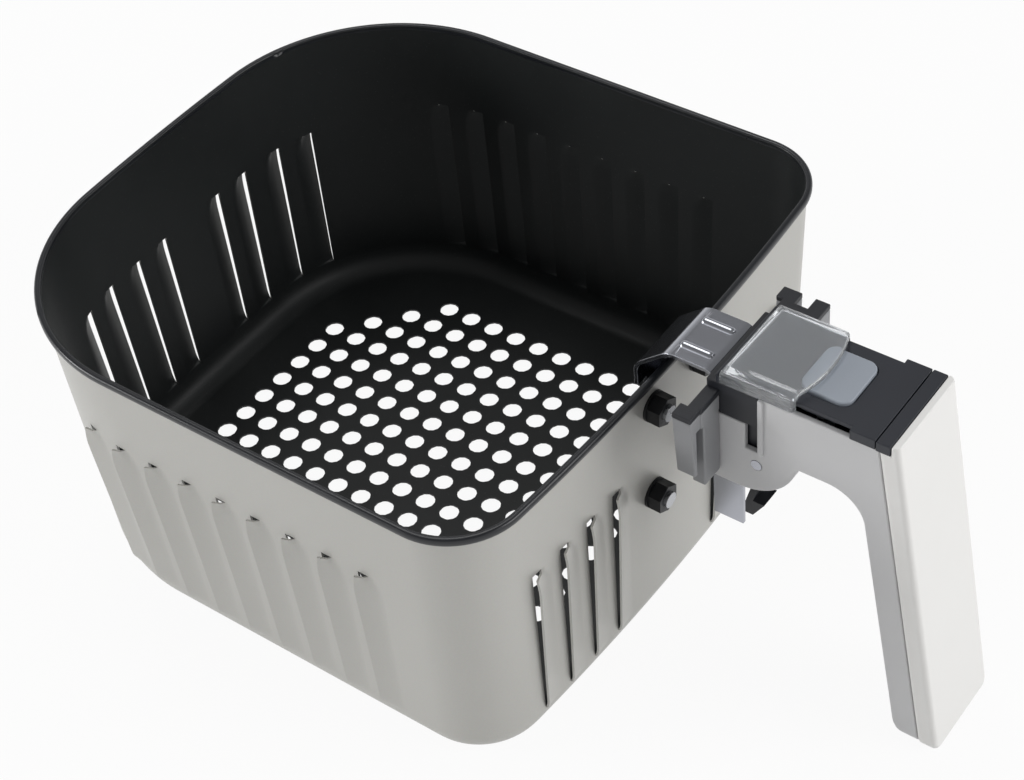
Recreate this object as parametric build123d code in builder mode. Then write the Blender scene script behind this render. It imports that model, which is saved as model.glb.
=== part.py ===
from build123d import *
import os
from math import asin, atan, cos, degrees, pi, radians, sin, sqrt, tan

# Square frying basket with a latching handle.
# X runs across the handle, the handle points to -Y, Z is up.
# The origin is on the underside of the floor, at the middle of the rim square.
# "out" is a distance from the origin towards the handle, so y = -out. Millimetres.

# Basket
basket_width = 220.0
base_width = 213.0
basket_height = 120.0
sheet = 0.8
front_corner_radius = 26.0
back_corner_radius = 72.0
wall_bow = 5.3
floor_radius = 10.0
rim_overhang = 1.6
rim_height = 3.2
rim_round = 1.0

# Floor perforation
hole_pitch = 11.5
hole_diameter = 7.8
hole_columns = 14
hole_rows = 15
pattern_shift = 3.5
back_corner_steps = 3
front_corner_steps = 1

# Louvres pressed into the walls, sheared open along one side and at the top
louvre_length = 72.5
back_louvre_length = 67.0
louvre_foot = 10.3
louvre_width = 9.0
louvre_rise = 3.2
louvre_lip = 0.9
louvre_end_ramp = 5.0
louvre_slit = 0.5
louvre_sink = 1.2
side_louvre_count = 9
side_louvre_pitch = 15.3
side_louvre_shift = 0.7
front_louvre_places = (-79.8, -65.7, -51.6, -37.5, 24.0, 38.1, 52.2, 66.3)
back_louvre_places = (-57.3, -42.3, -26.6, -11.7, 19.0, 34.3, 52.8, 67.4)

# Bracket over the rim
bracket_sheet = 1.5
bracket_width = 25.6
bracket_bend = 2.5
bridge_bend = 6.0
pad_width = 38.0
pad_bottom = 52.0
pad_top_drop = 7.0
jog_height = 10.0
jog_top_drop = 13.0
leg_gap = 5.8
strip_ease = 0.1
leg_neck_width = 15.0
leg_neck_top_drop = 9.0
bridge_rise = 12.0
bridge_slope_run = 12.4
handle_standoff = 22.0
channel_depth = 11.6
channel_bottom = 66.0
channel_notch_width = 16.0
channel_notch_height = 17.0
bracket_rib_spread = 13.0
bracket_rib_radius = 1.9
bracket_rib_proud = 1.1
bracket_rib_margin = 2.5

# Bracket fasteners
bracket_screw_diameter = 6.0
bracket_screw_spread = 28.0
bracket_screw_rows = (63.0, 106.0)
bracket_head_diameter = 11.0
bracket_head_crown = 6.0
bracket_head_height = 2.4
bracket_nut_size = 10.0
bracket_nut_height = 5.0
bracket_washer_diameter = 11.6
bracket_washer_height = 1.0
bracket_screw_tail = 1.2
head_ease = 0.02
thread_clearance = 0.05

# Handle neck, collar and latch housing
neck_width = 36.0
neck_height = 24.5
neck_length = 63.0
neck_above_bridge = 2.5
shell_wall = 2.2
shell_round = 1.6
collar_setback = 2.2
collar_drop = 13.5
pivot_offset = 19.8
pivot_drop = 30.5
neck_start = 0.8
housing_radius = 22.0
housing_setback = 7.1
housing_lift = 9.0
housing_notch = 5.0
housing_notch_drop = 24.5
housing_rib = 2.0
housing_rib_proud = 0.9
housing_blend = 2.0
housing_mouth = 11.5
neck_underside_radius = 14.0

# Grip
grip_width = 37.0
grip_lean = 8.8
grip_back_depth = 9.0
grip_face_depth = 7.5
grip_bottom = 0.5
grip_corner_radius = 4.0
grip_heel_radius = 9.0
grip_face_lip = 2.4
end_cap_overlap = 0.8
end_cap_round = 0.6
end_cap_peg = 2.0
end_cap_peg_from_seam = 1.6
end_cap_peg_width = 12.0
end_cap_peg_length = 8.0
grip_face_round = 2.0

# Mount block and ears
block_cheek = 1.9
ear_width = 69.0
ear_arm_width = 58.0
ear_arm_depth = 4.9
ear_cover = 2.2
ear_height = 6.5
ear_top_drop = 3.0
ear_front_setback = 2.6
ear_web_width = 55.0
ear_web_height = 36.0
ear_groove_width = 3.4
ear_groove_depth = 5.0
tooth_width = 7.0
tooth_gap = 5.0
tooth_depth = 28.0
tooth_taper = 2.0
rear_tooth_width = 5.5
rear_tooth_depth = 12.0
tenon_length = 4.0
tenon_margin = 1.0
tenon_shoulder = 1.2
tongue_depth = 11.1
tongue_height = 26.0
tongue_relief = 2.5
cheek_height = 12.5
fit_gap = 0.3

# Top plate and guard
plate_height = 4.0
plate_width = 36.6
plate_setback = 3.7
plate_snap_length = 8.0
plate_snap_height = 8.0
rail_setback = 1.0
rail_flange = 1.9
rail_step = 2.0
rail_undercut = 1.8
guard_length = 26.2
guard_wall = 1.7
guard_height = 7.1
guard_travel = 19.0
rail_spare = 1.0
guard_bow = 4.0
guard_round = 4.0
guard_end_round = 1.4
guard_lip = 1.2
guard_lift = 0.5

# Button and latch
button_width = 21.4
button_length = 18.0
button_under_guard = 2.5
button_corner_radius = 4.0
button_edge_round = 0.7
button_proud = 1.1
button_flange = 1.5
button_flange_height = 2.7
button_gap = 0.35
button_leg_width = 5.0
button_leg_length = 3.0
lever_width = 8.4
lever_room = 1.0
lever_hub_radius = 5.0
lever_arm_reach = 21.0
lever_arm_rise = 16.5
lever_arm_height = 3.0
lever_post = 4.5
lever_leg_thickness = 4.5
lever_hook_in = 12.0
lever_hook_drop = 39.0
lever_hook_toe = 4.5
lever_hook_height = 3.5
pin_diameter = 4.0
pin_running_gap = 0.05
pin_seat_gap = 0.03
spring_diameter = 6.0
spring_wire = 0.8
spring_turns = 7
spring_spread = 16.4
spring_spigot = 3.0
spigot_diameter = 3.6
latch_spring_diameter = 7.6
latch_spring_turns = 3
latch_spring_pitch = 1.3
latch_spring_tail = 5.0

# Handle screws
mount_screw_diameter = 3.5
mount_screw_spread = 16.0
mount_screw_drop = 5.5
mount_head_diameter = 6.5
mount_head_height = 1.8
mount_boss_depth = 4.0
mount_boss_height = 6.0
grip_screw_diameter = 3.0
grip_screw_bite = 4.5
grip_head_diameter = 5.6
grip_head_height = 2.0
grip_head_seat = 4.5
grip_boss_diameter = 8.0
grip_screw_places = (46.0, 112.0)

# Places that follow from the sizes above
rim_half = basket_width / 2
base_half = base_width / 2
draft = atan((rim_half - base_half) / basket_height)
front_out = rim_half + wall_bow
pad_top = basket_height - pad_top_drop
bridge_top = basket_height + bridge_rise
web_out = front_out + handle_standoff
block_front = web_out + bracket_sheet
tongue_end = block_front + tongue_depth
neck_top = bridge_top + neck_above_bridge
neck_bottom = neck_top - neck_height
neck_floor = neck_bottom + shell_wall
neck_half = neck_width / 2
inner_half = neck_half - shell_wall
collar_front = block_front + collar_setback
collar_top = neck_top - collar_drop
deck_bottom = collar_top + fit_gap
pivot_out = web_out + pivot_offset
pivot_height = neck_top - pivot_drop
belly_out = pivot_out - housing_setback
belly_height = pivot_height + housing_lift
collar_bottom = belly_height - housing_radius
neck_front = pivot_out + neck_start
seam_out = web_out + neck_length
plate_top = neck_top + plate_height
plate_front = block_front + plate_setback
lean = radians(grip_lean)
seam_foot_out = seam_out + (neck_top - grip_bottom) * tan(lean)
back_run = grip_back_depth / cos(lean)
face_run = grip_face_depth / cos(lean)
guard_front = plate_front + rail_setback + fit_gap
guard_end = guard_front + guard_length
button_front = guard_end - button_under_guard
button_end = button_front + button_length
button_middle = (button_front + button_end) / 2
flange_top = neck_top - fit_gap
flange_bottom = flange_top - button_flange_height
arm_top = pivot_height + lever_arm_rise
mount_screw_height = pivot_height - mount_screw_drop
from_min = (Align.CENTER, Align.CENTER, Align.MIN)
from_max = (Align.CENTER, Align.CENTER, Align.MAX)
mount_screw_planes = [
    Plane(origin=(side * mount_screw_spread / 2, -web_out, mount_screw_height), z_dir=(0, -1, 0))
    for side in (-1, 1)
]

# Sketches on this plane read as (out, height) and extrude across the handle
handle_plane = Plane(origin=(0, 0, 0), x_dir=(0, -1, 0), z_dir=(-1, 0, 0))


def half_at(height):
    """Half width of the basket's outer wall at a height."""
    return base_half + (rim_half - base_half) * height / basket_height


def plan_outline(height, inset):
    """Plan of the basket at a height: straight sides, bowed front and back, round corners."""
    half = half_at(height) - inset
    with BuildSketch(Plane.XY.offset(height)) as outline:
        with BuildLine():
            ThreePointArc((-half, -half), (0, -half - wall_bow), (half, -half))
            Line((half, -half), (half, half))
            ThreePointArc((half, half), (0, half + wall_bow), (-half, half))
            Line((-half, half), (-half, -half))
        make_face()
        fillet(outline.vertices().sort_by(Axis.Y)[:2], front_corner_radius - inset)
        fillet(outline.vertices().sort_by(Axis.Y)[-2:], back_corner_radius - inset)
    return outline.sketch


def bow_arc(height):
    """Radius of a bowed end wall and the reach of its centre; the bow is the rise over the corners."""
    half = half_at(height)
    radius = (half**2 + wall_bow**2) / (2 * wall_bow)
    return radius, half + wall_bow - radius


def corner_centre(height, corner_radius):
    """Centre of a corner, as (across, reach): it touches the side wall and the bowed wall from inside."""
    radius, reach = bow_arc(height)
    across = half_at(height) - corner_radius
    return across, reach + sqrt((radius - corner_radius) ** 2 - across**2)


def end_wall(x, height, corner_radius):
    """Reach of an end wall at a place across it, and the turn of its normal in degrees."""
    radius, reach = bow_arc(height)
    across, corner_reach = corner_centre(height, corner_radius)
    if abs(x) <= across * radius / (radius - corner_radius):
        rise = sqrt(radius**2 - x**2)
        return reach + rise, degrees(atan(x / rise))
    run = x - across if x > 0 else x + across
    rise = sqrt(corner_radius**2 - run**2)
    return corner_reach + rise, degrees(atan(run / rise))


def side_wall(y, height):
    """Reach of a side wall at a place along it, and the turn of its normal towards the back."""
    across, corner_reach = corner_centre(height, back_corner_radius)
    run = max(y - corner_reach, 0)
    rise = sqrt(back_corner_radius**2 - run**2)
    return across + rise, degrees(atan(run / rise))


def wall_plane(point, bearing):
    """Plane on the outer wall: x up the wall, z outwards; the bearing is the normal's angle from +X."""
    flat = Vector(cos(radians(bearing)), sin(radians(bearing)), 0)
    up = flat * sin(draft) + Vector(0, 0, 1) * cos(draft)
    outward = flat * cos(draft) - Vector(0, 0, 1) * sin(draft)
    return Plane(origin=point, x_dir=up, z_dir=outward)


def front_plane(x, height):
    """Plane on the outside of the handle wall."""
    reach, turn = end_wall(x, height, front_corner_radius)
    return wall_plane((x, -reach, height), -90 + turn)


def back_plane(x, height):
    """Plane on the outside of the back wall."""
    reach, turn = end_wall(x, height, back_corner_radius)
    return wall_plane((x, reach, height), 90 - turn)


def side_plane(side, y, height):
    """Plane on the outside of a side wall; side is -1 or 1."""
    reach, turn = side_wall(y, height)
    return wall_plane((side * reach, y, height), turn if side > 0 else 180 - turn)


def limits_box(x_limits, out_limits, z_limits, mode=Mode.ADD):
    """Box between limits across, out along the handle and up."""
    middle = (sum(x_limits) / 2, -sum(out_limits) / 2, sum(z_limits) / 2)
    with Locations(middle):
        Box(
            x_limits[1] - x_limits[0],
            out_limits[1] - out_limits[0],
            z_limits[1] - z_limits[0],
            mode=mode,
        )


# Louvre places, seen from outside each louvre opens to its left
louvre_middle = louvre_foot + louvre_length / 2
back_louvre_middle = louvre_foot + back_louvre_length / 2
side_louvre_start = side_louvre_shift - (side_louvre_count - 1) / 2 * side_louvre_pitch
side_places = [side_louvre_start + i * side_louvre_pitch for i in range(side_louvre_count)]
long_louvres = [side_plane(side, y, louvre_middle) for side in (-1, 1) for y in side_places]
long_louvres += [front_plane(x, louvre_middle) for x in front_louvre_places]
short_louvres = [back_plane(x, back_louvre_middle) for x in back_louvre_places]
louvre_groups = ((long_louvres, louvre_length), (short_louvres, back_louvre_length))


def louvre_seat(plane, sink, slip):
    """Seat of the louvre wedge on a wall plane: x up the wall, y outwards, z to the right."""
    moved = plane.offset(-sink)
    left = plane.y_dir
    origin = moved.origin + (left + plane.x_dir) * slip
    return Plane(origin=origin, x_dir=plane.x_dir, z_dir=-left)


def hole_kept(column, row):
    """Whether a floor hole is inside the stepped corners; row 0 is at the back."""
    from_side = min(column, hole_columns - 1 - column)
    from_front = hole_rows - 1 - row
    return from_side + row >= back_corner_steps and from_side + from_front >= front_corner_steps


floor_holes = [
    ((column - (hole_columns - 1) / 2) * hole_pitch, ((hole_rows - 1) / 2 - row) * hole_pitch + pattern_shift)
    for column in range(hole_columns)
    for row in range(hole_rows)
    if hole_kept(column, row)
]
bracket_screw_planes = [
    front_plane(side * bracket_screw_spread / 2, height) for side in (-1, 1) for height in bracket_screw_rows
]

# Outer body of the basket before the space inside is taken out
with BuildPart() as basket_body:
    loft([plan_outline(0, 0), plan_outline(basket_height, 0)], ruled=True)
    fillet(basket_body.edges().group_by(Axis.Z)[0], floor_radius)

# Rim ring round the top edge of the wall
with BuildPart() as rim_ring:
    extrude(plan_outline(basket_height - rim_height, -rim_overhang), amount=rim_height)
    fillet(rim_ring.edges().group_by(Axis.Z)[0], rim_round)
    fillet(rim_ring.edges().group_by(Axis.Z)[-1], rim_round)
    add(basket_body.part, mode=Mode.SUBTRACT)
rim_ring.part.label = "rim_ring"
export_step(rim_ring.part, "parts/rim_ring.step")

# Space inside the basket
with BuildPart() as basket_cavity:
    loft([plan_outline(sheet, sheet), plan_outline(basket_height + rim_height, sheet)], ruled=True)
    fillet(basket_cavity.edges().group_by(Axis.Z)[0], floor_radius - sheet)

# Basket: drawn sheet with louvred walls and a perforated floor
with BuildPart() as basket_shell:
    add(basket_body.part)
    for planes, length in louvre_groups:
        with Locations(*[louvre_seat(plane, sheet / 2, 0) for plane in planes]):
            Wedge(
                length,
                louvre_rise + sheet / 2,
                louvre_width,
                louvre_end_ramp,
                0,
                length,
                louvre_lip,
                align=(Align.CENTER, Align.MIN, Align.MIN),
            )
    add(basket_cavity.part, mode=Mode.SUBTRACT)
    for planes, length in louvre_groups:
        with Locations(*[louvre_seat(plane, louvre_sink, louvre_slit) for plane in planes]):
            Wedge(
                length,
                louvre_rise + sheet / 2,
                louvre_width + louvre_slit,
                louvre_end_ramp,
                0,
                length,
                louvre_lip + louvre_slit,
                align=(Align.CENTER, Align.MIN, Align.MIN),
                mode=Mode.SUBTRACT,
            )
    with BuildSketch():
        with Locations(*floor_holes):
            Circle(hole_diameter / 2)
    extrude(amount=sheet * 2, both=True, mode=Mode.SUBTRACT)
    with Locations(*bracket_screw_planes):
        Cylinder(bracket_screw_diameter / 2 + thread_clearance, sheet * 8, mode=Mode.SUBTRACT)

basket_shell.part.label = "basket_shell"
export_step(basket_shell.part, "parts/basket_shell.step")


def wall_inside(height):
    """Out to the inside of the handle wall at its middle."""
    return half_at(height) + wall_bow - sheet


def mirrored_boxes(x_limits, out_limits, z_limits, mode=Mode.ADD):
    """The same box on both sides of the middle plane."""
    limits_box(x_limits, out_limits, z_limits, mode)
    limits_box((-x_limits[1], -x_limits[0]), out_limits, z_limits, mode)


# Strip of the bracket from the wall over the rim, then down as a channel for the handle
leg_out = wall_inside(pad_top) - leg_gap
jog_top = basket_height - jog_top_drop
jog_bottom = jog_top - jog_height
strip_under = bridge_top - bracket_sheet
strip_start = pad_bottom + (pad_top - pad_bottom) / 2
slope_end = leg_out + bridge_slope_run
rib_start = slope_end + bracket_rib_margin
rib_end = web_out - bracket_bend - bracket_rib_radius
with BuildPart() as bracket_strip:
    with BuildSketch(handle_plane):
        with BuildLine():
            FilletPolyline(
                (wall_inside(strip_start) - strip_ease, strip_start),
                (wall_inside(jog_bottom) - strip_ease, jog_bottom),
                (leg_out, jog_top),
                (leg_out, basket_height),
                (slope_end, strip_under),
                (web_out, strip_under),
                (web_out, channel_bottom),
                radius=(bracket_bend, bracket_bend, bridge_bend, bridge_bend, bracket_bend),
            )
            offset(amount=bracket_sheet, side=Side.LEFT)
        make_face()
    extrude(amount=bracket_width / 2, both=True)
    mirrored_boxes(
        (leg_neck_width / 2, bracket_width),
        (leg_out - bracket_width, front_out),
        (pad_bottom, basket_height - leg_neck_top_drop),
        Mode.SUBTRACT,
    )
    mirrored_boxes(
        (bracket_width / 2 - bracket_sheet, bracket_width / 2),
        (web_out, web_out + channel_depth),
        (channel_bottom, collar_top - fit_gap),
    )
    limits_box(
        (-channel_notch_width / 2, channel_notch_width / 2),
        (web_out - bracket_sheet, block_front + bracket_sheet),
        (channel_bottom - channel_notch_height, channel_bottom + channel_notch_height),
        Mode.SUBTRACT,
    )
    rib_axis_height = bridge_top + bracket_rib_proud - bracket_rib_radius
    for side in (-1, 1):
        rib_x = side * bracket_rib_spread / 2
        with Locations((rib_x, -(rib_start + rib_end) / 2, rib_axis_height)):
            Cylinder(bracket_rib_radius, rib_end - rib_start, rotation=(90, 0, 0))
        with Locations((rib_x, -rib_start, rib_axis_height), (rib_x, -rib_end, rib_axis_height)):
            Sphere(bracket_rib_radius)
    limits_box(
        (-bracket_width / 2, bracket_width / 2),
        (rib_start - bracket_rib_radius, rib_end + bracket_rib_radius),
        (strip_under - bracket_rib_radius, strip_under),
        Mode.SUBTRACT,
    )

# Bracket: the strip joined to a pad that follows the inside of the handle wall
with BuildPart() as rim_bracket:
    loft([plan_outline(pad_bottom, sheet), plan_outline(pad_top, sheet)], ruled=True)
    pad_inset = sheet + bracket_sheet
    loft(
        [plan_outline(pad_bottom, pad_inset), plan_outline(pad_top, pad_inset)],
        ruled=True,
        mode=Mode.SUBTRACT,
    )
    limits_box(
        (-pad_width / 2, pad_width / 2), (base_half / 2, front_out), (pad_bottom, pad_top), Mode.INTERSECT
    )
    add(bracket_strip.part)
    with Locations(*bracket_screw_planes):
        Cylinder(bracket_screw_diameter / 2 + thread_clearance, bracket_sheet * 8, mode=Mode.SUBTRACT)
    with Locations(*mount_screw_planes):
        Cylinder(mount_screw_diameter / 2 + thread_clearance, bracket_sheet * 4, mode=Mode.SUBTRACT)
rim_bracket.part.label = "rim_bracket"
export_step(rim_bracket.part, "parts/rim_bracket.step")

# Screws through bracket and wall, heads inside the basket
clamp_depth = sheet + bracket_sheet
stack = bracket_washer_height + bracket_nut_height + bracket_screw_tail
with BuildPart() as bracket_screws:
    with Locations(*[plane.offset(-clamp_depth) for plane in bracket_screw_planes]):
        Cylinder(bracket_screw_diameter / 2, clamp_depth + stack, align=from_min)
        Cylinder(bracket_head_crown / 2, head_ease, align=from_max)
        with Locations((0, 0, -head_ease)):
            Cone(bracket_head_crown / 2, bracket_head_diameter / 2, bracket_head_height, align=from_max)
bracket_screws.part.label = "bracket_screws"
export_step(bracket_screws.part, "parts/bracket_screws.step")

# Spring washers under the nuts
with BuildPart() as bracket_washers:
    with BuildSketch(*bracket_screw_planes):
        Circle(bracket_washer_diameter / 2)
        Circle(bracket_screw_diameter / 2 + thread_clearance, mode=Mode.SUBTRACT)
    extrude(amount=bracket_washer_height)
bracket_washers.part.label = "bracket_washers"
export_step(bracket_washers.part, "parts/bracket_washers.step")

# Black hex nuts on the outside of the handle wall
with BuildPart() as bracket_nuts:
    with BuildSketch(*[plane.offset(bracket_washer_height) for plane in bracket_screw_planes]):
        RegularPolygon(bracket_nut_size / 2, 6, major_radius=False)
        Circle(bracket_screw_diameter / 2 + thread_clearance, mode=Mode.SUBTRACT)
    extrude(amount=bracket_nut_height)
bracket_nuts.part.label = "bracket_nuts"
export_step(bracket_nuts.part, "parts/bracket_nuts.step")

# Mount block: deck over the collar, tongue in the channel, flat covers over the ears
ear_top = neck_top - ear_top_drop
ear_roof = ear_top - ear_cover
ear_bottom = ear_roof - ear_height
ear_front = block_front - ear_front_setback
arm_half = ear_arm_width / 2
ear_half = ear_width / 2
arm_end = block_front + ear_arm_depth
tooth_end = ear_front + tooth_width
rear_tooth = tooth_end + tooth_gap
ear_end = rear_tooth + rear_tooth_width
deck_end = neck_front - fit_gap
tenon_outs = (block_front + tenon_margin, arm_end - tenon_margin)
tenon_heights = (ear_bottom + tenon_shoulder, ear_roof - tenon_shoulder)
with BuildPart() as mount_block:
    limits_box((-neck_half, neck_half), (block_front, deck_end), (deck_bottom, neck_top))
    mirrored_boxes((neck_half, arm_half), (block_front, arm_end), (ear_roof, ear_top))
    mirrored_boxes((arm_half, ear_half), (ear_front, tooth_end), (ear_roof, ear_top))
    limits_box((neck_half, arm_half), (arm_end, ear_end), (ear_roof, ear_top))
    limits_box((arm_half, ear_half), (rear_tooth, ear_end), (ear_roof, ear_top))
    tongue_half = bracket_width / 2 - bracket_sheet - fit_gap
    limits_box(
        (-tongue_half, tongue_half), (block_front, tongue_end), (deck_bottom - tongue_height, deck_bottom)
    )
    mirrored_boxes(
        (inner_half - fit_gap - block_cheek, inner_half - fit_gap),
        (collar_front, deck_end),
        (deck_bottom - cheek_height, deck_bottom),
    )
    mirrored_boxes((neck_half - tenon_length - fit_gap, neck_half), tenon_outs, tenon_heights, Mode.SUBTRACT)
    with Locations(*mount_screw_planes):
        Cylinder(mount_screw_diameter / 2 + thread_clearance, tongue_depth * 3, mode=Mode.SUBTRACT)
    limits_box(
        (-lever_width / 2 - lever_room, lever_width / 2 + lever_room),
        (tongue_end - tongue_relief, tongue_end),
        (deck_bottom - tongue_height, pivot_height),
        Mode.SUBTRACT,
    )
mount_block.part.label = "mount_block"
export_step(mount_block.part, "parts/mount_block.step")

# Toothed ears under the covers, each pushed into a pocket in the side of the block
tooth_bottom = ear_top - tooth_depth
web_bottom = ear_top - ear_web_height
web_half = ear_web_width / 2
with BuildPart() as block_ears:
    mirrored_boxes((neck_half, arm_half), (block_front, arm_end), (ear_bottom, ear_roof))
    mirrored_boxes((neck_half + fit_gap, web_half), (block_front, arm_end), (web_bottom, ear_bottom))
    for side in (-1, 1):
        with BuildSketch(Plane.XZ.offset(ear_front)):
            with BuildLine():
                Polyline(
                    (side * arm_half, ear_roof),
                    (side * ear_half, ear_roof),
                    (side * (ear_half - tooth_taper), tooth_bottom),
                    (side * (arm_half - tooth_taper), tooth_bottom),
                    close=True,
                )
            make_face()
        extrude(amount=tooth_width)
    mirrored_boxes(
        (web_half, web_half + ear_groove_width),
        (tooth_end - ear_groove_depth, arm_end),
        (tooth_bottom, ear_bottom),
        Mode.SUBTRACT,
    )
    limits_box((neck_half, arm_half), (arm_end, ear_end), (ear_bottom, ear_roof))
    limits_box((arm_half, ear_half), (rear_tooth, ear_end), (ear_top - rear_tooth_depth, ear_roof))
    mirrored_boxes(
        (neck_half - tenon_length, neck_half),
        (tenon_outs[0] + thread_clearance, tenon_outs[1] - thread_clearance),
        (tenon_heights[0] + thread_clearance, tenon_heights[1] - thread_clearance),
    )
block_ears.part.label = "block_ears"
export_step(block_ears.part, "parts/block_ears.step")


def seam_at(height):
    """Out to the seam of the grip at a height."""
    return seam_out + (neck_top - height) * tan(lean)


def grip_plane(place):
    """Plane on the seam of the grip, a distance down from its top, facing outwards."""
    height = neck_top - place * cos(lean)
    return Plane(origin=(0, -seam_at(height), height), x_dir=(1, 0, 0), z_dir=(0, -cos(lean), sin(lean)))


def body_profile(inset):
    """Side view of the handle body; the open top, front and seam stay, the other sides move in."""
    floor = neck_bottom + inset
    foot = grip_bottom + inset
    back = back_run - inset / cos(lean)
    belly_radius = housing_radius - inset
    belly_bottom = belly_height - belly_radius
    belly_end = belly_out + sqrt(belly_radius**2 - (floor - belly_height) ** 2)
    belly_turn = (asin((floor - belly_height) / belly_radius) - pi / 2) / 2
    belly_middle = (belly_out + belly_radius * cos(belly_turn), belly_height + belly_radius * sin(belly_turn))
    with BuildSketch(handle_plane) as side_view:
        with BuildLine():
            FilletPolyline(
                (belly_end, floor),
                (seam_at(floor) - back, floor),
                (seam_at(foot) - back, foot),
                (seam_at(foot), foot),
                (seam_out, neck_top),
                (collar_front, neck_top),
                (collar_front, belly_bottom),
                (belly_out, belly_bottom),
                radius=(neck_underside_radius + inset, grip_heel_radius - inset, 0, 0, 0, 0),
            )
            ThreePointArc((belly_out, belly_bottom), belly_middle, (belly_end, floor))
        make_face()
        crease = side_view.vertices().sort_by_distance((belly_end, floor, 0))[0]
        fillet(crease, housing_blend)
    return side_view.sketch


def rounded_front(half, bottom, radius):
    """Front view of the grip: straight sides with rounded lower corners."""
    with BuildSketch(Plane.XZ) as front_view:
        with Locations((0, bottom)):
            Rectangle(2 * half, basket_height * 2, align=(Align.CENTER, Align.MIN))
        fillet(front_view.vertices().group_by(Axis.Z)[0], radius)
    return front_view.sketch


grip_screw_planes = [grip_plane(place) for place in grip_screw_places]
handle_reach = seam_foot_out + face_run

# Space inside the handle body
with BuildPart() as body_cavity:
    extrude(body_profile(shell_wall), amount=neck_half, both=True)
    cavity_front = rounded_front(inner_half, grip_bottom + shell_wall, grip_corner_radius - shell_wall)
    extrude(cavity_front, amount=handle_reach, mode=Mode.INTERSECT)

# Handle body: collar, latch housing, neck and the back half of the grip in one moulding
rail_end = guard_end + guard_travel + rail_spare + fit_gap
notch_floor = neck_top - housing_notch_drop
boss_start = tongue_end + fit_gap
spring_places = [(side * spring_spread / 2, -button_middle) for side in (-1, 1)]
pin_axis = Plane(origin=(0, -pivot_out, pivot_height), z_dir=(1, 0, 0))
mouth_half = lever_width / 2 + lever_room
with BuildPart() as handle_body:
    extrude(body_profile(0), amount=neck_half, both=True)
    body_front = rounded_front(neck_half, grip_bottom, grip_corner_radius)
    extrude(body_front, amount=handle_reach, mode=Mode.INTERSECT)
    add(body_cavity.part, mode=Mode.SUBTRACT)
    limits_box((-neck_half, neck_half), (collar_front, neck_front), (collar_top, neck_top), Mode.SUBTRACT)
    limits_box(
        (-neck_half, neck_half),
        (neck_front - housing_notch, neck_front),
        (notch_floor, neck_top),
        Mode.SUBTRACT,
    )
    mirrored_boxes(
        (neck_half - shell_wall, neck_half + housing_rib_proud),
        (neck_front, neck_front + housing_rib),
        (neck_bottom, neck_top),
    )
    limits_box(
        (-mouth_half, mouth_half),
        (pivot_out - housing_mouth, pivot_out),
        (collar_bottom - shell_wall, collar_bottom + shell_wall * 2),
        Mode.SUBTRACT,
    )
    limits_box(
        (-bracket_width / 2 - fit_gap, bracket_width / 2 + fit_gap),
        (collar_front, web_out + channel_depth + fit_gap),
        (collar_bottom, collar_bottom + shell_wall),
        Mode.SUBTRACT,
    )
    mirrored_boxes(
        (mouth_half, neck_half - shell_wall / 2),
        (boss_start, boss_start + mount_boss_depth),
        (mount_screw_height - mount_boss_height / 2, mount_screw_height + mount_boss_height / 2),
    )
    with Locations(*[(x, y, neck_floor) for x, y in spring_places]):
        Cylinder(spigot_diameter / 2, spring_spigot, align=from_min)
    with Locations(*grip_screw_planes):
        Cylinder(grip_boss_diameter / 2, grip_back_depth - shell_wall / 2, align=from_max)
        Cylinder(grip_screw_diameter / 2 + thread_clearance, grip_back_depth * 3, mode=Mode.SUBTRACT)
    with Locations(*[plane.offset(-grip_head_seat) for plane in grip_screw_planes]):
        Cylinder(grip_head_diameter / 2 + fit_gap, grip_back_depth, align=from_max, mode=Mode.SUBTRACT)
    with Locations(*mount_screw_planes):
        Cylinder(mount_screw_diameter / 2 + thread_clearance, neck_length, mode=Mode.SUBTRACT)
    with Locations(pin_axis):
        Cylinder(pin_diameter / 2 + pin_seat_gap, neck_width * 2, mode=Mode.SUBTRACT)
handle_body.part.label = "handle_body"
export_step(handle_body.part, "parts/handle_body.step")

# Screws that hold the handle to the bracket, heads on the basket side
mount_screw_length = boss_start + mount_boss_depth - web_out - thread_clearance
with BuildPart() as mount_screws:
    with Locations(*mount_screw_planes):
        Cylinder(mount_screw_diameter / 2, mount_screw_length, align=from_min)
        Cylinder(mount_head_diameter / 2, mount_head_height, align=from_max)
mount_screws.part.label = "mount_screws"
export_step(mount_screws.part, "parts/mount_screws.step")

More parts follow.
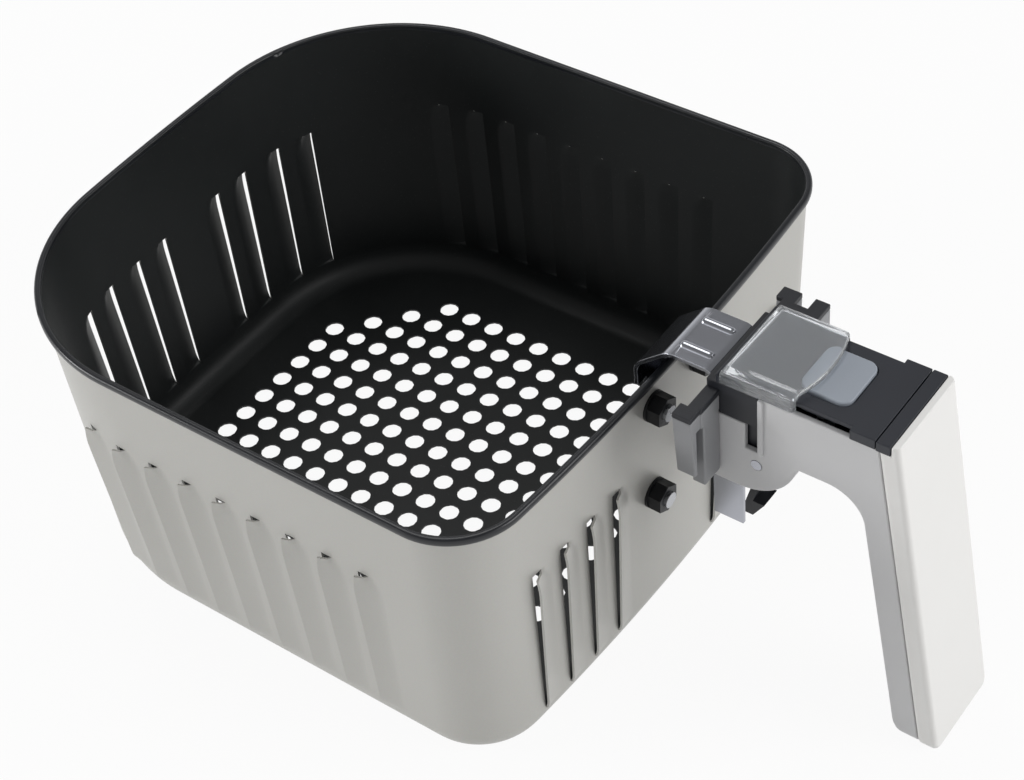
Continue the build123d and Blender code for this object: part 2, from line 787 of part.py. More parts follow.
# Pale outer half of the grip, hollow towards the seam
grip_half = grip_width / 2
face_floor = grip_bottom + shell_wall
face_ceiling = neck_top - shell_wall
face_inside = (grip_face_depth - shell_wall) / cos(lean)
peg_front = seam_out + end_cap_peg_from_seam
lip_end = seam_at(plate_top) + face_run
cap_end = lip_end - grip_face_lip
with BuildPart() as grip_face:
    with BuildSketch(handle_plane):
        with BuildLine():
            Polyline(
                (seam_out, neck_top),
                (cap_end, neck_top),
                (cap_end, plate_top),
                (lip_end, plate_top),
                (seam_foot_out + face_run, grip_bottom),
                (seam_foot_out, grip_bottom),
                close=True,
            )
        make_face()
    extrude(amount=grip_half, both=True)
    face_front = rounded_front(grip_half, grip_bottom, grip_corner_radius)
    extrude(face_front, amount=handle_reach, mode=Mode.INTERSECT)
    outer_edges = grip_face.faces().sort_by(Axis.Y)[0].edges()
    fillet(outer_edges.filter_by(lambda edge: edge.center().Z < neck_top - shell_round), grip_face_round)
    with BuildSketch(handle_plane):
        with BuildLine():
            Polyline(
                (seam_at(face_ceiling), face_ceiling),
                (seam_at(face_ceiling) + face_inside, face_ceiling),
                (seam_at(face_floor) + face_inside, face_floor),
                (seam_at(face_floor), face_floor),
                close=True,
            )
        make_face()
    extrude(amount=grip_half - grip_corner_radius / 2, both=True, mode=Mode.SUBTRACT)
    with Locations(*grip_screw_planes):
        Cylinder(grip_boss_diameter / 2, grip_face_depth - shell_wall / 2, align=from_min)
        Cylinder(grip_screw_diameter / 2 + thread_clearance, grip_screw_bite * 2, mode=Mode.SUBTRACT)
    limits_box(
        (-end_cap_peg_width / 2 - fit_gap, end_cap_peg_width / 2 + fit_gap),
        (peg_front - fit_gap, peg_front + end_cap_peg + fit_gap),
        (face_ceiling - shell_wall, neck_top),
        Mode.SUBTRACT,
    )
grip_face.part.label = "grip_face"
export_step(grip_face.part, "parts/grip_face.step")

# Screws from the back of the grip into its face
with BuildPart() as grip_screws:
    with Locations(*[plane.offset(-grip_head_seat) for plane in grip_screw_planes]):
        Cylinder(grip_screw_diameter / 2, grip_head_seat + grip_screw_bite - thread_clearance, align=from_min)
        Cylinder(grip_head_diameter / 2, grip_head_height, align=from_max)
grip_screws.part.label = "grip_screws"
export_step(grip_screws.part, "parts/grip_screws.step")

# Cap on the top end of the grip, behind the lip of the grip face and pegged into it
with BuildPart() as end_cap:
    limits_box(
        (-grip_half, grip_half),
        (seam_out - end_cap_overlap, cap_end - fit_gap),
        (neck_top, plate_top),
    )
    fillet(end_cap.faces().sort_by(Axis.Z)[-1].edges(), end_cap_round)
    limits_box(
        (-end_cap_peg_width / 2, end_cap_peg_width / 2),
        (peg_front, peg_front + end_cap_peg),
        (neck_top - end_cap_peg_length, neck_top),
    )
end_cap.part.label = "end_cap"
export_step(end_cap.part, "parts/end_cap.step")


def button_outline(grow):
    """Rounded outline of the button on the top of the neck, grown on every side."""
    with BuildSketch(Plane.XY.offset(neck_top)) as outline:
        with Locations((0, -button_middle)):
            RectangleRounded(button_width + 2 * grow, button_length + 2 * grow, button_corner_radius + grow)
    return outline.sketch


# Top plate: rails for the guard along both edges, an opening for the button and snap legs
plate_half = plate_width / 2
rail_half = plate_half - rail_step
plate_end = seam_out - end_cap_overlap - fit_gap
rail_limits = (plate_front + rail_setback, rail_end)
snap_end = plate_end - fit_gap
with BuildPart() as top_plate:
    limits_box((-plate_half, plate_half), (plate_front, plate_end), (neck_top, plate_top))
    mirrored_boxes((rail_half, plate_half), rail_limits, (neck_top, plate_top), Mode.SUBTRACT)
    mirrored_boxes(
        (rail_half - rail_undercut, rail_half),
        rail_limits,
        (neck_top, plate_top - rail_flange),
        Mode.SUBTRACT,
    )
    extrude(button_outline(button_gap), amount=plate_height, mode=Mode.SUBTRACT)
    mirrored_boxes(
        (inner_half - fit_gap - shell_round, inner_half - fit_gap),
        (snap_end - plate_snap_length, snap_end),
        (neck_top - plate_snap_height, neck_top),
    )
top_plate.part.label = "top_plate"
export_step(top_plate.part, "parts/top_plate.step")

# Clear guard that slides along the top plate and over the button
guard_bottom = neck_top + guard_lift
guard_top = guard_bottom + guard_height
skirt_inside = plate_half - guard_wall
with BuildPart() as guard_space:
    limits_box(
        (-skirt_inside, skirt_inside),
        (guard_front + guard_wall, guard_end + guard_bow + guard_wall),
        (guard_bottom, guard_top - guard_wall),
    )
    space_edges = guard_space.faces().sort_by(Axis.Z)[-1].edges().sort_by(Axis.Y)
    fillet(space_edges[1:], guard_round - guard_wall)
with BuildPart() as button_guard:
    with BuildSketch(Plane.XY.offset(guard_bottom)):
        with BuildLine():
            Polyline(
                (-plate_half, -guard_end),
                (-plate_half, -guard_front),
                (plate_half, -guard_front),
                (plate_half, -guard_end),
            )
            ThreePointArc((plate_half, -guard_end), (0, -guard_end - guard_bow), (-plate_half, -guard_end))
        make_face()
    extrude(amount=guard_height)
    hood_edges = button_guard.faces().sort_by(Axis.Z)[-1].edges().sort_by(Axis.Y)
    fillet(hood_edges[1:], guard_round)
    end_edges = button_guard.faces().sort_by(Axis.Y)[0].edges().sort_by(Axis.Z)
    fillet(end_edges[-1], guard_end_round)
    add(guard_space.part, mode=Mode.SUBTRACT)
    limits_box(
        (-skirt_inside, skirt_inside),
        (guard_front, guard_end),
        (guard_bottom, plate_top + fit_gap),
        Mode.SUBTRACT,
    )
    mirrored_boxes(
        (rail_half - rail_undercut + fit_gap, skirt_inside),
        (guard_front, guard_end),
        (guard_bottom, guard_bottom + guard_lip),
    )
button_guard.part.label = "button_guard"
export_step(button_guard.part, "parts/button_guard.step")

# Release button: cap, flange under the top plate, leg down to the lever
leg_middle = pivot_out + lever_arm_reach
leg_outs = (leg_middle - button_leg_length / 2, leg_middle + button_leg_length / 2)
with BuildPart() as release_button:
    extrude(button_outline(0), amount=plate_height + button_proud)
    fillet(release_button.faces().sort_by(Axis.Z)[-1].edges(), button_edge_round)
    extrude(button_outline(0), amount=-fit_gap)
    flange_slab = Plane.XY.offset(-fit_gap) * button_outline(button_flange)
    extrude(flange_slab, amount=-button_flange_height)
    limits_box((-button_leg_width / 2, button_leg_width / 2), leg_outs, (arm_top + fit_gap, flange_bottom))
    with Locations(*[(x, y, flange_bottom) for x, y in spring_places]):
        Cylinder(spigot_diameter / 2, spring_spigot, align=from_max)
release_button.part.label = "release_button"
export_step(release_button.part, "parts/release_button.step")

# Latch lever: hub on the pin, arm under the button, hook reaching down below the collar
hook_out = pivot_out - lever_hook_in
hook_height = pivot_height - lever_hook_drop
with BuildPart() as latch_lever:
    with BuildSketch(handle_plane) as lever_side:
        with Locations((pivot_out, pivot_height)):
            Circle(lever_hub_radius)
        with BuildLine():
            Polyline(
                (pivot_out, pivot_height),
                (pivot_out, arm_top),
                (pivot_out + lever_arm_reach + lever_arm_height, arm_top),
                (pivot_out + lever_arm_reach + lever_arm_height, arm_top - lever_arm_height),
                (pivot_out + lever_post, arm_top - lever_arm_height),
                (pivot_out + lever_post, pivot_height),
                close=True,
            )
        make_face()
        with BuildLine():
            Polyline(
                (pivot_out - lever_leg_thickness / 2, pivot_height),
                (pivot_out + lever_leg_thickness / 2, pivot_height),
                (hook_out + lever_leg_thickness / 2, hook_height + lever_hook_height),
                (hook_out + lever_leg_thickness / 2 + lever_hook_toe, hook_height + lever_hook_height),
                (hook_out + lever_leg_thickness / 2, hook_height - lever_hook_height),
                (hook_out - lever_leg_thickness / 2, hook_height - lever_hook_height),
                close=True,
            )
        make_face()
        with Locations((pivot_out, pivot_height)):
            Circle(pin_diameter / 2 + pin_running_gap, mode=Mode.SUBTRACT)
    extrude(amount=lever_width / 2, both=True)
latch_lever.part.label = "latch_lever"
export_step(latch_lever.part, "parts/latch_lever.step")

# Pin of the lever, flush with both sides of the housing
with BuildPart() as latch_pin:
    with Locations(pin_axis):
        Cylinder(pin_diameter / 2, neck_width)
latch_pin.part.label = "latch_pin"
export_step(latch_pin.part, "parts/latch_pin.step")

# One button spring, standing on the origin
spring_height = flange_bottom - neck_floor
coil_height = spring_height - spring_wire
with BuildPart() as spring_form:
    with BuildLine() as spring_line:
        Helix(
            coil_height / spring_turns,
            coil_height,
            (spring_diameter - spring_wire) / 2,
            center=(0, 0, spring_wire / 2),
        )
    with BuildSketch(Plane(origin=spring_line.line @ 0, z_dir=spring_line.line % 0)):
        Circle(spring_wire / 2)
    sweep(is_frenet=True)

# Springs under the button, on spigots of the neck floor
with BuildPart() as button_springs:
    with Locations(*[(x, y, neck_floor) for x, y in spring_places]):
        add(spring_form.part)
button_springs.part.label = "button_springs"
export_step(button_springs.part, "parts/button_springs.step")

# Torsion spring on the pin, beside the hub of the lever
latch_coil = latch_spring_pitch * latch_spring_turns
latch_coil_start = lever_width / 2 + lever_room
with BuildPart() as latch_spring:
    with BuildLine() as latch_line:
        coil = Helix(
            latch_spring_pitch,
            latch_coil,
            (latch_spring_diameter - spring_wire) / 2,
            center=(latch_coil_start, -pivot_out, pivot_height),
            direction=(1, 0, 0),
        )
        Line(coil @ 1, coil @ 1 + (coil % 1) * latch_spring_tail)
    with BuildSketch(Plane(origin=coil @ 0, z_dir=coil % 0)):
        Circle(spring_wire / 2)
    sweep(is_frenet=True)
latch_spring.part.label = "latch_spring"
export_step(latch_spring.part, "parts/latch_spring.step")
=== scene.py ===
import bmesh
import bpy
import numpy as np
from mathutils import Matrix, Vector
from mathutils.geometry import delaunay_2d_cdt


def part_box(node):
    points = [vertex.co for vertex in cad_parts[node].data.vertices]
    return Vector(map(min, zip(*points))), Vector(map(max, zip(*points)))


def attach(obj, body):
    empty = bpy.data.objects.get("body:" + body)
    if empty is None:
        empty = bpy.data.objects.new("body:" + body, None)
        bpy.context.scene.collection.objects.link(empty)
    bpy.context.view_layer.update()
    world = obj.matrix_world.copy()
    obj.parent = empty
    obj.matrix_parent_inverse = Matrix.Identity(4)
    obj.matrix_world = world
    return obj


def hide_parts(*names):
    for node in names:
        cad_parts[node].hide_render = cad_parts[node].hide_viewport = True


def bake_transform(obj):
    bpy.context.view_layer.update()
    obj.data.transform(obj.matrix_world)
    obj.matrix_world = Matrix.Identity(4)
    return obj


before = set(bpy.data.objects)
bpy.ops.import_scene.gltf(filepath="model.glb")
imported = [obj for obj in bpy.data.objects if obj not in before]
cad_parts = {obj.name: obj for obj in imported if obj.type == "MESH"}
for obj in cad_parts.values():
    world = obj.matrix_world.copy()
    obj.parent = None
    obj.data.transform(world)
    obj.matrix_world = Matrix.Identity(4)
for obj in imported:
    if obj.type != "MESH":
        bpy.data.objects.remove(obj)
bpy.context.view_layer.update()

# Basket: one drawn steel sheet, silver paint outside and black non-stick inside.
# Louvres are sheared and pushed outwards in the walls, open on the left and at the top seen from outside.
# The floor is punched with round holes on a square grid.
MM = 0.001
basket_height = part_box("basket_shell")[1].z
rim_half = 110.0 * MM
base_half = 106.5 * MM
wall_bow = 5.3 * MM
front_corner = 26.0 * MM
back_corner = 72.0 * MM
floor_radius = 10.0 * MM
sheet = 0.8 * MM
long_louvre = 72.5 * MM
short_louvre = 67.0 * MM
louvre_foot = 10.3 * MM
louvre_width = 9.0 * MM
louvre_rise = 3.5 * MM
louvre_foot_rise = 1.8 * MM
louvre_end = 5.0 * MM
louvre_hollow = 1.35
open_share = 0.42
top_fade = 15.0 * MM
mouth_length = 0.4 * MM
mouth_reach = 14.0 * MM
mouth_rise = 0.68
mouth_swell = 9.0 * MM
side_slits = (0.7 + 15.3 * (np.arange(9) - 4)) * MM
front_slits = np.array([-79.8, -65.7, -51.6, -37.5, 24.0, 38.1, 52.2, 66.3]) * MM
back_slits = np.array([-57.3, -42.3, -26.6, -11.7, 19.0, 34.3, 52.8, 67.4]) * MM
shear_gap = 0.1 * MM
hole_pitch = 11.5 * MM
hole_radius = 3.9 * MM
hole_columns = 14
hole_rows = 15
hole_shift = 3.5 * MM
hole_sides = 24
front_corner_holes = 3
back_corner_holes = 1


def basket_outline(turn, half, inset):
    """Plan of the basket: turn goes 0 to 10 round it, anticlockwise from the middle of the handle wall.

    Each unit of turn is one stretch: bowed wall, round corner, straight side, round corner, bowed wall,
    then the same five mirrored. A point is its arc's centre plus the radius along its heading.
    Returns x, y and the outward normal."""
    turn, half, inset = np.broadcast_arrays(turn % 10.0, half, inset)
    mirrored = np.where(turn > 5.0, -1.0, 1.0)
    place = np.where(turn > 5.0, 10.0 - turn, turn)
    stretch = np.minimum(np.floor(place), 4.0)
    part = place - stretch
    half = half - inset
    bow_radius = (half**2 + wall_bow**2) / (2 * wall_bow)
    bow_centre = half + wall_bow - bow_radius
    front_radius = front_corner - inset
    back_radius = back_corner - inset
    front_x = half - front_radius
    back_x = half - back_radius
    front_y = bow_centre + np.sqrt((bow_radius - front_radius) ** 2 - front_x**2)
    back_y = bow_centre + np.sqrt((bow_radius - back_radius) ** 2 - back_x**2)
    front_angle = np.arctan2(front_x, front_y - bow_centre)
    back_angle = np.arctan2(back_x, back_y - bow_centre)
    quarter = np.pi / 2
    stretches = [stretch == number for number in range(4)]
    heading = np.select(
        stretches,
        [
            part * front_angle,
            front_angle + part * (quarter - front_angle),
            np.full_like(part, quarter),
            quarter + part * (quarter - back_angle),
        ],
        np.pi - back_angle + part * back_angle,
    )
    radius = np.select(stretches, [bow_radius, front_radius, 0 * part, back_radius], bow_radius)
    centre_x = np.select(stretches, [0 * part, front_x, half, back_x], 0 * part)
    centre_y = np.select(
        stretches, [-bow_centre, -front_y, -front_y + part * (front_y + back_y), back_y], bow_centre
    )
    x = centre_x + radius * np.sin(heading)
    y = centre_y - radius * np.cos(heading)
    return mirrored * x, y, mirrored * np.sin(heading), -np.cos(heading)


def wall_half(height):
    """Half width of the wall at a height: it leans out evenly from base to rim."""
    return base_half + (rim_half - base_half) * height / basket_height


# Length round the wall at the louvres' height, to place columns of the grid in real distances
fine_turn = np.linspace(0.0, 10.0, 20001)
fine_x, fine_y, _, _ = basket_outline(fine_turn, wall_half(louvre_foot + long_louvre / 2), 0.0)
fine_length = np.concatenate([[0.0], np.cumsum(np.hypot(np.diff(fine_x), np.diff(fine_y)))])
whole_length = fine_length[-1]
side_part = (fine_turn > 1.0) & (fine_turn < 4.0)
front_part = fine_turn < 2.0
back_part = (fine_turn > 3.0) & (fine_turn <= 5.0)
side_lengths = np.interp(side_slits, fine_y[side_part], fine_length[side_part])
front_lengths = np.interp(np.abs(front_slits), fine_x[front_part], fine_length[front_part])
back_lengths = np.interp(-np.abs(back_slits), -fine_x[back_part], fine_length[back_part])
slits = np.concatenate(
    [
        side_lengths,
        whole_length - side_lengths,
        np.where(front_slits > 0, front_lengths, whole_length - front_lengths),
        np.where(back_slits > 0, back_lengths, whole_length - back_lengths),
    ]
)
long_top = louvre_foot + long_louvre
short_top = louvre_foot + short_louvre
slit_tops = np.full(slits.size, long_top)
slit_tops[-back_slits.size :] = short_top

# Columns of the wall grid: close together over each louvre, wider between
beyond_louvre = 0.6 * MM
louvre_columns = np.array([0.0, 0.05, 0.13, 0.23, 0.35, 0.48, 0.62, 0.76, 0.9, 1.0]) * louvre_width
louvre_columns = np.concatenate([[-shear_gap], louvre_columns, [louvre_width + beyond_louvre]])
stretch_steps = (14, 18, 24, 40, 8)
plain_turns = np.concatenate([k + np.arange(n) / n for k, n in enumerate(stretch_steps)])
plain_turns = np.concatenate([plain_turns, 10.0 - plain_turns[1:], [5.0]])
plain_columns = np.interp(plain_turns, fine_turn, fine_length)
from_slits = plain_columns[:, None] - slits[None, :]
keep_clear = 1.5 * MM
is_clear = ((from_slits < -keep_clear) | (from_slits > louvre_width + keep_clear)).all(axis=1)
columns = np.concatenate([plain_columns[is_clear], (slits[:, None] + louvre_columns).ravel()])
columns = np.sort(columns % whole_length)
column_turn = np.interp(columns, fine_length, fine_turn)
along = columns[:, None] - slits[None, :]
louvre_number = np.abs(along - louvre_width / 2).argmin(axis=1)
own_along = np.take_along_axis(along, louvre_number[:, None], axis=1)[:, 0]
column_top = slit_tops[louvre_number]
is_raised = (own_along > -shear_gap / 2) & (own_along < louvre_width - shear_gap)
across = np.clip(own_along / louvre_width, 0.0, 1.0)
column_rise = np.where(is_raised, (1.0 - across) ** louvre_hollow, 0.0)
is_slit = np.abs(own_along + shear_gap) < shear_gap / 2

# Rows of the wall grid, from under the rim down to the round edge of the floor
under_rim = 0.5 * MM
wall_rows = np.concatenate(
    [
        np.linspace(basket_height - under_rim, long_top + 2 * MM, 8),
        [long_top, long_top - shear_gap],
        np.linspace(long_top - 1.2 * MM, short_top + 1 * MM, 4),
        [short_top, short_top - shear_gap],
        np.linspace(short_top - 2 * MM, louvre_foot + louvre_end, 18),
        louvre_foot + louvre_end * (1 - np.sin(np.linspace(0.0, np.pi / 2, 9)[1:])),
    ]
)
edge_angle = np.linspace(0.0, np.pi / 2, 9)
row_height = np.concatenate([wall_rows, floor_radius * (1 - np.sin(edge_angle))])
row_inset = np.concatenate([0 * wall_rows, floor_radius * (1 - np.cos(edge_angle))])
into_end = np.clip((louvre_foot + louvre_end - row_height) / louvre_end, 0.0, 1.0)
up_louvre = np.clip((row_height - louvre_foot) / long_louvre, 0.0, 1.0)
row_rise = np.sqrt(1.0 - into_end**2) * (louvre_foot_rise + (louvre_rise - louvre_foot_rise) * up_louvre)

# The wall surface: outline at each row, pushed out along its normal by rise across times rise along.
# Under the top of a louvre the rows are drawn down next to the slit, which leaves a quarter-round mouth.
above = row_height[:, None] - column_top[None, :]
mouth = mouth_length * np.sqrt(np.clip(1.0 - (across / open_share) ** 2, 0.0, 1.0)) * is_raised
drawn_down = np.clip(1.0 + above / mouth_reach, 0.0, 1.0) * (above < -shear_gap / 2)
wall_height = row_height[:, None] - mouth[None, :] * drawn_down
wall_x, wall_y, normal_x, normal_y = basket_outline(
    column_turn[None, :], wall_half(wall_height), row_inset[:, None]
)
# Next to the slit a louvre is open at its top and swells below it.
# The rest of its width fades into the wall.
fade_length = np.clip((across - open_share) / (1.0 - open_share), 0.0, 1.0) * top_fade
faded = np.clip(-above / np.maximum(fade_length, shear_gap / 2), 0.0, 1.0)
swell = np.sin(np.clip(-above / mouth_swell, 0.0, 1.0) * np.pi / 2)
faded = faded**2 * (3 - 2 * faded) * (mouth_rise + (1.0 - mouth_rise) * swell)
push = row_rise[:, None] * column_rise[None, :] * faded * (above < -shear_gap / 2)
wall_points = np.stack([wall_x + push * normal_x, wall_y + push * normal_y, wall_height], -1)
row_count, column_count = push.shape
corner = np.arange(row_count * column_count).reshape(row_count, column_count)
beside = np.roll(corner, -1, axis=1)
wall_quads = np.stack([corner[1:], beside[1:], beside[:-1], corner[:-1]], -1)

# Sheared away: the band along each slit, and the band across the top of each raised part
upper = row_height[:-1, None]
lower_rise = row_rise[1:, None]
least_opening = 0.2 * MM
is_side_cut = is_slit & (upper < column_top + shear_gap / 2) & (lower_rise > least_opening)
is_top_cut = is_raised & (across < open_share) & (np.abs(upper - column_top) < shear_gap / 2)
wall_quads = wall_quads[~(is_side_cut | is_top_cut)]

# The floor inside the round edge: triangles between the edge and the rims of the holes
hole_column, hole_row = np.meshgrid(np.arange(hole_columns), np.arange(hole_rows))
from_side = np.minimum(hole_column, hole_columns - 1 - hole_column)
from_back = hole_rows - 1 - hole_row
is_punched = (from_side + hole_row >= front_corner_holes) & (from_side + from_back >= back_corner_holes)
hole_x = ((hole_column - (hole_columns - 1) / 2) * hole_pitch)[is_punched]
hole_y = (((hole_rows - 1) / 2 - hole_row) * hole_pitch + hole_shift)[is_punched]
hole_angle = np.arange(hole_sides) * 2 * np.pi / hole_sides
rim_points = np.stack(
    [
        (hole_x[:, None] + hole_radius * np.cos(hole_angle)).ravel(),
        (hole_y[:, None] + hole_radius * np.sin(hole_angle)).ravel(),
    ],
    -1,
)
edge_points = wall_points[-1, :, :2]
flat_points = np.concatenate([edge_points, rim_points])
edge_lines = np.stack([np.arange(column_count), np.roll(np.arange(column_count), -1)], -1)
rim_start = column_count + np.arange(hole_x.size)[:, None] * hole_sides
rim_lines = np.stack(
    [rim_start + np.arange(hole_sides), rim_start + np.roll(np.arange(hole_sides), -1)], -1
).reshape(-1, 2)
flat_lines = np.concatenate([edge_lines, rim_lines])
made_points, _, made_triangles, *_ = delaunay_2d_cdt(
    [Vector(point) for point in flat_points.tolist()], flat_lines.tolist(), [], 0, 1e-7
)
made_points = np.array([point[:] for point in made_points])
made_triangles = np.array(made_triangles)
middles = made_points[made_triangles].mean(axis=1)
to_holes = np.hypot(middles[:, None, 0] - hole_x, middles[:, None, 1] - hole_y).min(axis=1)
floor_triangles = made_triangles[to_holes > hole_radius * 0.97][:, ::-1]
floor_points = np.column_stack([made_points, np.zeros(len(made_points))])


def weld(points, grain):
    """Joins points of the same small cell: returns the kept points and each old point's new number."""
    cells = np.round(points / grain).astype(np.int64)
    _, first, number = np.unique(cells, axis=0, return_index=True, return_inverse=True)
    return points[first], number.reshape(-1)


def smooth_normals(points, triangles):
    """Normal at each point: the sum of its triangles' cross products, made unit length."""
    a, b, c = (points[triangles[:, k]] for k in range(3))
    face_normal = np.cross(b - a, c - a)
    total = np.zeros_like(points)
    for k in range(3):
        np.add.at(total, triangles[:, k], face_normal)
    return total / np.maximum(np.linalg.norm(total, axis=1, keepdims=True), 1e-12)


def new_piece(name, points, faces, materials, face_material=None):
    """Puts points and faces into a mesh object at the origin, with its materials."""
    mesh = bpy.data.meshes.new(name)
    mesh.from_pydata(points.tolist(), [], faces)
    for material in materials:
        mesh.materials.append(material)
    if face_material is not None:
        mesh.polygons.foreach_set("material_index", np.asarray(face_material, np.int32))
    mesh.polygons.foreach_set("use_smooth", np.ones(len(mesh.polygons), bool))
    mesh.update()
    piece = bpy.data.objects.new(name, mesh)
    bpy.context.scene.collection.objects.link(piece)
    return piece


def linear(hex_colour):
    """An sRGB hex colour as linear red, green, blue and alpha."""
    value = np.array([int(hex_colour[k : k + 2], 16) for k in (1, 3, 5)]) / 255
    value = np.where(value <= 0.04045, value / 12.92, ((value + 0.055) / 1.055) ** 2.4)
    return (*value.tolist(), 1.0)


def node(tree, kind, inputs=None, **settings):
    """Adds a node with its settings; an input given a socket is linked, any other value is set."""
    made = tree.nodes.new(kind)
    for name, value in settings.items():
        setattr(made, name, value)
    for name, value in (inputs or {}).items():
        if isinstance(value, bpy.types.NodeSocket):
            tree.links.new(value, made.inputs[name])
        else:
            made.inputs[name].default_value = value
    return made


def new_material(name):
    """An empty node material with its output, and the object's coordinates to hang patterns on."""
    material = bpy.data.materials.new(name)
    material.use_nodes = True
    tree = material.node_tree
    tree.nodes.clear()
    output = node(tree, "ShaderNodeOutputMaterial")
    place = node(tree, "ShaderNodeTexCoord").outputs["Object"]
    return material, tree, output, place


def per_metre(size):
    """Texture scale at which one cell of a pattern has this size."""
    return 1.0 / size


# Stoved silver paint: satin, with fine metal flake, faint clouds and a slight orange peel
silver_paint, tree, output, place = new_material("stoved_silver_paint")
clouds = node(tree, "ShaderNodeTexNoise", {"Vector": place, "Scale": per_metre(60 * MM), "Detail": 3.0})
flake = node(tree, "ShaderNodeTexNoise", {"Vector": place, "Scale": per_metre(0.7 * MM), "Detail": 1.0})
tone = node(
    tree,
    "ShaderNodeMix",
    {"Factor": clouds.outputs["Fac"], 6: linear("#B6B5B0"), 7: linear("#C1C0BC")},
    data_type="RGBA",
)
flaked = node(
    tree,
    "ShaderNodeMix",
    {"Factor": 0.10, 6: tone.outputs[2], 7: flake.outputs["Color"]},
    data_type="RGBA",
    blend_type="SOFT_LIGHT",
)
peel = node(tree, "ShaderNodeTexNoise", {"Vector": place, "Scale": per_metre(1.6 * MM), "Detail": 2.0})
relief = node(
    tree, "ShaderNodeBump", {"Height": peel.outputs["Fac"], "Strength": 0.06, "Distance": 0.2 * MM}
)
gloss = node(
    tree,
    "ShaderNodeMapRange",
    {"Value": clouds.outputs["Fac"], "From Min": 0.3, "From Max": 0.7, "To Min": 0.38, "To Max": 0.46},
)
shader = node(
    tree,
    "ShaderNodeBsdfPrincipled",
    {
        "Base Color": flaked.outputs[2],
        "Metallic": 0.35,
        "Roughness": gloss.outputs["Result"],
        "Normal": relief.outputs["Normal"],
    },
)
tree.links.new(shader.outputs["BSDF"], output.inputs["Surface"])

# Black non-stick coat: sprayed and baked, semi-matt, with pale mineral specks and a fine grain
nonstick, tree, output, place = new_material("black_nonstick_coat")
grain = node(tree, "ShaderNodeTexNoise", {"Vector": place, "Scale": per_metre(0.9 * MM), "Detail": 2.0})
wear = node(tree, "ShaderNodeTexNoise", {"Vector": place, "Scale": per_metre(45 * MM), "Detail": 4.0})
speck = node(
    tree, "ShaderNodeTexVoronoi", {"Vector": place, "Scale": per_metre(2.2 * MM), "Randomness": 1.0}
)
speck_mask = node(
    tree,
    "ShaderNodeMapRange",
    {"Value": speck.outputs["Distance"], "From Min": 0.05, "From Max": 0.14, "To Min": 0.35, "To Max": 0.0},
)
tone = node(
    tree,
    "ShaderNodeMix",
    {"Factor": wear.outputs["Fac"], 6: linear("#191B1C"), 7: linear("#232626")},
    data_type="RGBA",
)
specked = node(
    tree,
    "ShaderNodeMix",
    {"Factor": speck_mask.outputs["Result"], 6: tone.outputs[2], 7: linear("#4A4C4D")},
    data_type="RGBA",
)
relief = node(
    tree, "ShaderNodeBump", {"Height": grain.outputs["Fac"], "Strength": 0.12, "Distance": 0.15 * MM}
)
gloss = node(
    tree,
    "ShaderNodeMapRange",
    {"Value": wear.outputs["Fac"], "From Min": 0.3, "From Max": 0.7, "To Min": 0.40, "To Max": 0.50},
)
shader = node(
    tree,
    "ShaderNodeBsdfPrincipled",
    {
        "Base Color": specked.outputs[2],
        "Roughness": gloss.outputs["Result"],
        "IOR": 1.4,
        "Normal": relief.outputs["Normal"],
    },
)
tree.links.new(shader.outputs["BSDF"], output.inputs["Surface"])

# Outer face, inner face one sheet further in, and the cut edges between them
all_points, number = weld(np.concatenate([wall_points.reshape(-1, 3), floor_points]), 1e-6)
wall_quads = number[wall_quads]
floor_triangles = number[floor_triangles + row_count * column_count]
split_quads = np.concatenate([wall_quads[:, [0, 1, 2]], wall_quads[:, [0, 2, 3]], floor_triangles])
outward = smooth_normals(all_points, split_quads)
inner_points = all_points - outward * sheet
quad_edges = np.stack([wall_quads, np.roll(wall_quads, -1, axis=1)], -1).reshape(-1, 2)
triangle_edges = np.stack([floor_triangles, np.roll(floor_triangles, -1, axis=1)], -1).reshape(-1, 2)
edges = np.concatenate([quad_edges, triangle_edges])
_, edge_number, edge_uses = np.unique(
    np.sort(edges, axis=1), axis=0, return_inverse=True, return_counts=True
)
cut = edges[edge_uses[edge_number.reshape(-1)] == 1]
cut_points = np.concatenate(
    [all_points[cut[:, 0]], all_points[cut[:, 1]], inner_points[cut[:, 1]], inner_points[cut[:, 0]]]
)
cut_start = 2 * len(all_points) + np.arange(len(cut))
cut_quads = np.stack(
    [cut_start + len(cut), cut_start, cut_start + 3 * len(cut), cut_start + 2 * len(cut)], -1
)
inner = len(all_points)
cut_height = (all_points[cut[:, 0], 2] + all_points[cut[:, 1], 2]) / 2
is_lip = (cut_height > louvre_foot) & (cut_height < long_top + shear_gap)
face_lists = [
    wall_quads,
    floor_triangles,
    wall_quads[:, ::-1] + inner,
    floor_triangles[:, ::-1] + inner,
    cut_quads[is_lip],
    cut_quads[~is_lip],
]
face_material = np.repeat([0, 0, 1, 1, 0, 1], [len(faces) for faces in face_lists])
basket_sheet = new_piece(
    "basket_sheet",
    np.concatenate([all_points, inner_points, cut_points]),
    [face for faces in face_lists for face in faces.tolist()],
    [silver_paint, nonstick],
    face_material,
)
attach(basket_sheet, "basket")
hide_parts("basket_shell")

# Rim: the top edge of the basket, rolled into a bead so that it is stiff and not sharp.
# It runs all the way round and is under a baked black enamel.
bead_width = 2.6 * MM
bead_height = 3.2 * MM
bead_middle = 0.4 * MM
bead_squareness = 2.6


